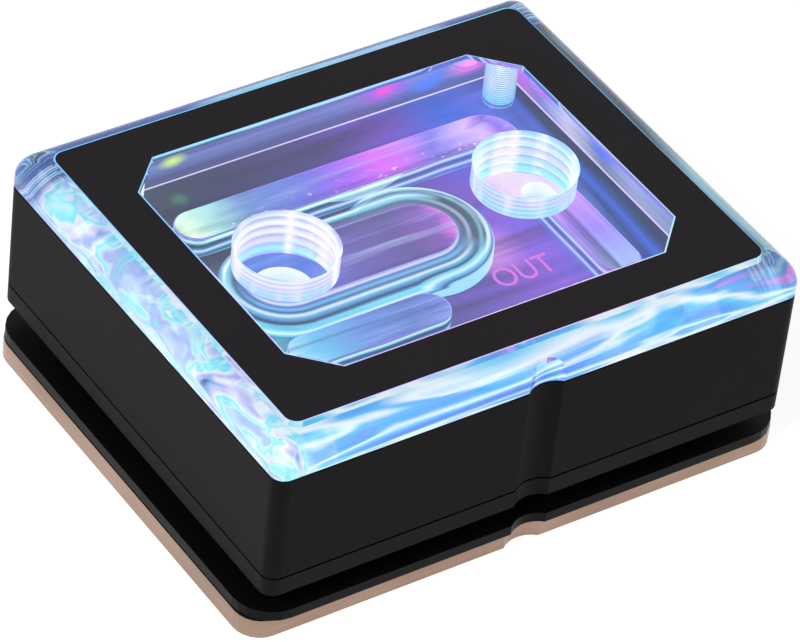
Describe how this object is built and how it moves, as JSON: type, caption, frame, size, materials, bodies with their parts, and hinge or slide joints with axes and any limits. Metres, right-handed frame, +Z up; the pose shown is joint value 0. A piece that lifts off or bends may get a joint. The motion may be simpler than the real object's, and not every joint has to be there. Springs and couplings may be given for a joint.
{
  "type": "cpu water block",
  "caption": "Clear-topped liquid cooling block for a processor, with threaded ports, lit channels under a window and a finned metal base.",
  "frame": {"origin": "middle of the contact face under the base, which is the lowest face", "axes": "+X along the longest side, from the inlet port to the outlet port; +Y towards the long side without the notch; +Z up, out of the ports"},
  "size_m": [0.0778, 0.0624, 0.0306],
  "materials": {
    "plated_copper": "plated copper, satin",
    "black_steel": "black coated steel, satin",
    "black_acetal": "black acetal, fine matt",
    "satin_black": "black anodised, satin",
    "clear_acrylic": "clear polished acrylic",
    "stainless_steel": "plain stainless steel",
    "black_rubber": "moulded rubber",
    "white_board": "white flexible board",
    "lamp_white": "white lamp body with a clear lens"
  },
  "bodies": {
    "root": {"cold_plate": "plated_copper", "mount_flange": "black_steel", "base_frame": "black_acetal", "plate_seal": "black_rubber", "base_seal": "black_rubber", "channel_seal": "black_rubber", "jet_plate": "stainless_steel", "flow_guide": "black_acetal", "housing": "black_acetal", "led_strip": "white_board", "led_01": "lamp_white", "led_02": "lamp_white", "led_03": "lamp_white", "led_04": "lamp_white", "led_05": "lamp_white", "led_06": "lamp_white", "led_07": "lamp_white", "led_08": "lamp_white", "led_09": "lamp_white", "led_10": "lamp_white", "led_11": "lamp_white", "led_12": "lamp_white", "led_13": "lamp_white", "led_14": "lamp_white", "acrylic_top": "clear_acrylic", "cover_frame": "satin_black", "screw_1": "stainless_steel", "screw_2": "stainless_steel", "screw_3": "stainless_steel", "screw_4": "stainless_steel", "base_screw_1": "stainless_steel", "base_screw_2": "stainless_steel", "base_screw_3": "stainless_steel", "base_screw_4": "stainless_steel"}
  },
  "joints": []
}
